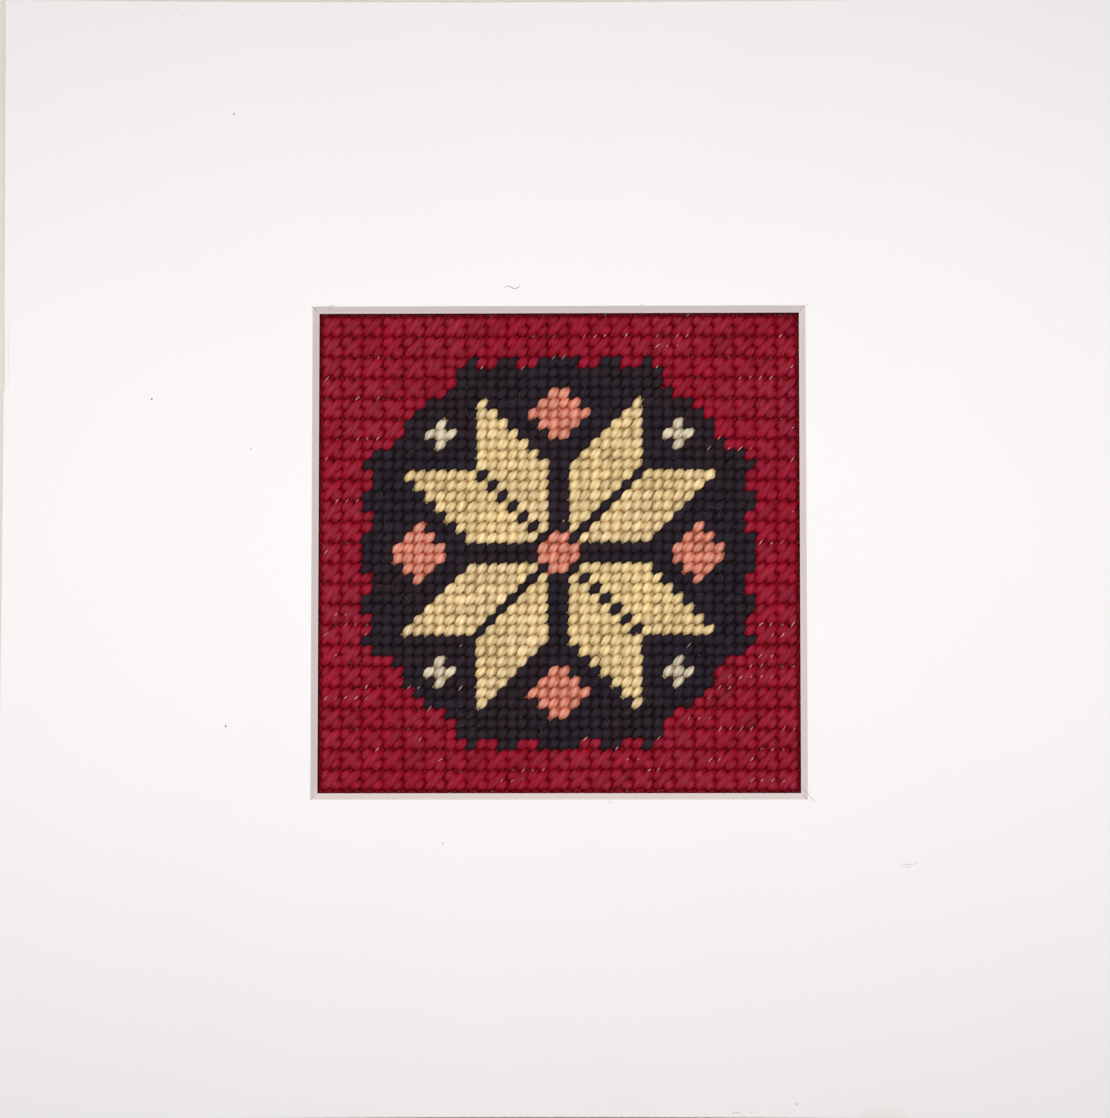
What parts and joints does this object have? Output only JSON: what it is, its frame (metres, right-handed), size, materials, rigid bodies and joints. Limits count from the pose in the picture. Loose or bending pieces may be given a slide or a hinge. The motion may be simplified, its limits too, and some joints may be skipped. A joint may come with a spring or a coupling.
{
  "type": "needlepoint canvas panel in a window mat",
  "caption": "Square wool needlepoint panel on mono canvas, seen through the bevel-cut window of a square white mat that hides its bare margin.",
  "frame": {"origin": "on the resting surface, under the middle of the mat and its window", "axes": "+Z out of the panel's face, +Y towards the top of the picture, +X to its right"},
  "size_m": [0.2032, 0.2032, 0.004],
  "materials": {
    "red_wool": "matt tapestry wool, mosaic stitch",
    "dark_wool": "matt tapestry wool, tent stitch",
    "cream_wool": "matt tapestry wool, tent stitch",
    "salmon_wool": "matt tapestry wool, tent stitch",
    "canvas_thread": "sized cotton mono canvas",
    "mat_board": "smooth matt white face, pale core at the bevel"
  },
  "bodies": {
    "root": {"needlepoint_canvas": "red_wool", "window_mat": "mat_board"}
  },
  "joints": []
}
